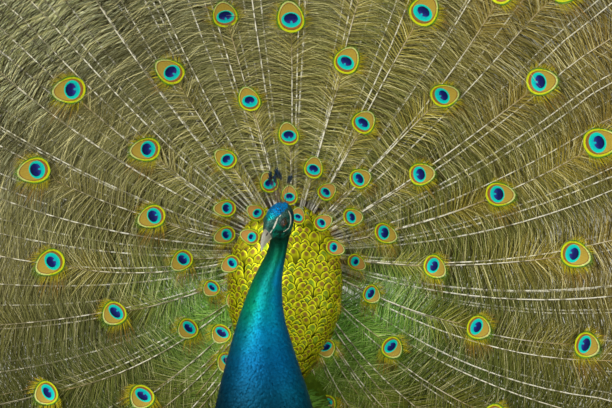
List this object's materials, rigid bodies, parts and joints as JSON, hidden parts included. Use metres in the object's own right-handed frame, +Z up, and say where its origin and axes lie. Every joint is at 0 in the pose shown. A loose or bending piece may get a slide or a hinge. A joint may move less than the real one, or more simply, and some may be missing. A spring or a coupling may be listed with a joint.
{
  "type": "indian peacock displaying its train, life-size model",
  "caption": "Life-size displaying Indian peacock with a blue neck, golden shoulder scales and a raised fan of eye-spotted feathers, standing on its two feet.",
  "frame": {"origin": "middle of the base of the whole model, on the floor it stands on", "axes": "the bird faces -Y, its left is +X, and +Z is up"},
  "size_m": [2.224, 0.4398, 1.8159],
  "materials": {
    "blue_plumage": "small glossy blue and blue-green feathers, lying flat",
    "dark_plumage": "dense dark green-black body feathers",
    "gold_plumage": "overlapping yellow-green scale feathers with bronze centres",
    "train_feathers": "loose green-bronze barbs with eye spots on pale shafts",
    "tail_feathers": "stiff grey-brown tail feathers",
    "barred_coverts": "buff wing coverts with fine black bars",
    "rufous_quills": "rufous flight feathers",
    "buff_plumage": "short buff thigh feathers",
    "leg_skin": "grey-brown scaly skin",
    "horn": "smooth horn",
    "eye": "wet dark brown eye"
  },
  "bodies": {
    "root": {"bill_lower": "horn", "bill_upper": "horn", "claw_hind_left": "horn", "claw_hind_right": "horn", "claw_inner_left": "horn", "claw_inner_right": "horn", "claw_middle_left": "horn", "claw_middle_right": "horn", "claw_outer_left": "horn", "claw_outer_right": "horn", "crest": "blue_plumage", "eye_left": "eye", "eye_right": "eye", "flight_feathers_left": "rufous_quills", "flight_feathers_right": "rufous_quills", "foot_left": "leg_skin", "foot_right": "leg_skin", "head": "blue_plumage", "neck_lower": "blue_plumage", "neck_upper": "blue_plumage", "rump": "dark_plumage", "shank_left": "leg_skin", "shank_right": "leg_skin", "shield": "gold_plumage", "spur_left": "horn", "spur_right": "horn", "tail": "tail_feathers", "thigh_left": "buff_plumage", "thigh_right": "buff_plumage", "train_01": "train_feathers", "train_02": "train_feathers", "train_03": "train_feathers", "train_04": "train_feathers", "train_05": "train_feathers", "train_06": "train_feathers", "train_07": "train_feathers", "train_08": "train_feathers", "train_09": "train_feathers", "train_10": "train_feathers", "trunk": "dark_plumage", "wing_left": "barred_coverts", "wing_right": "barred_coverts"}
  },
  "joints": []
}
